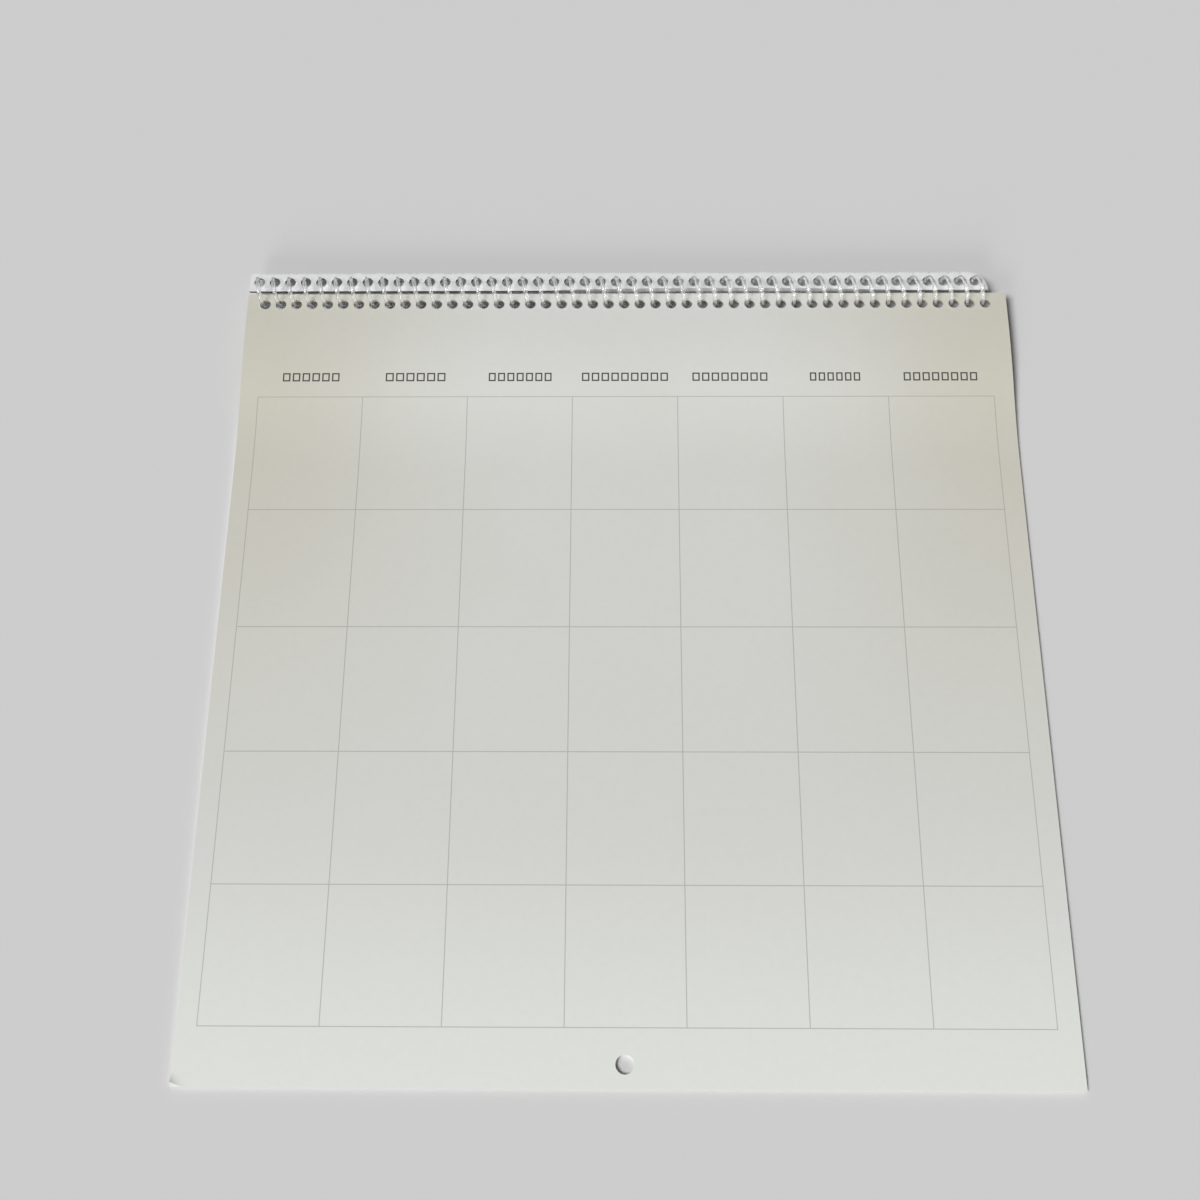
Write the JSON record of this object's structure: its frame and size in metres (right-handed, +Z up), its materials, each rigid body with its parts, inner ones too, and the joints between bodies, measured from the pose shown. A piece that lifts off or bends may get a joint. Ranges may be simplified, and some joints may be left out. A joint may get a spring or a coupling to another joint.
{
  "type": "wall calendar",
  "caption": "Square wall calendar lying open, its month leaf and the leaves under it held by a clear plastic coil.",
  "frame": {"origin": "on the table, under the middle of the calendar's outline as it lies open on its back", "axes": "+X along the coil to the right of the month leaf, +Y from the leaf's bottom edge to the coil, +Z up off the table"},
  "size_m": [0.3048, 0.3148, 0.0127],
  "materials": {
    "front_leaf_paper": "matte",
    "block_paper": "matte",
    "stub_paper": "matte",
    "coil_plastic": "clear gloss"
  },
  "bodies": {
    "pages": {"leaf_block": "block_paper"},
    "turning_leaf": {"front_leaf": "front_leaf_paper"},
    "binding": {"spiral_coil": "coil_plastic", "torn_stubs": "stub_paper"}
  },
  "joints": [
    {"name": "leaf_turn", "type": "hinge", "parent": "pages", "child": "turning_leaf", "pos_m": [0, 0.14801, 0.00636], "axis": [-1, 0, 0], "range_deg": [0, 125]},
    {"name": "coil_drift", "type": "slide", "parent": "pages", "child": "binding", "axis": [1, 0, 0], "range_m": [0, 0.0019]}
  ],
  "couplings": [
    {"joint": "coil_drift", "follows": "leaf_turn", "m_per_rad": 0.000871}
  ]
}
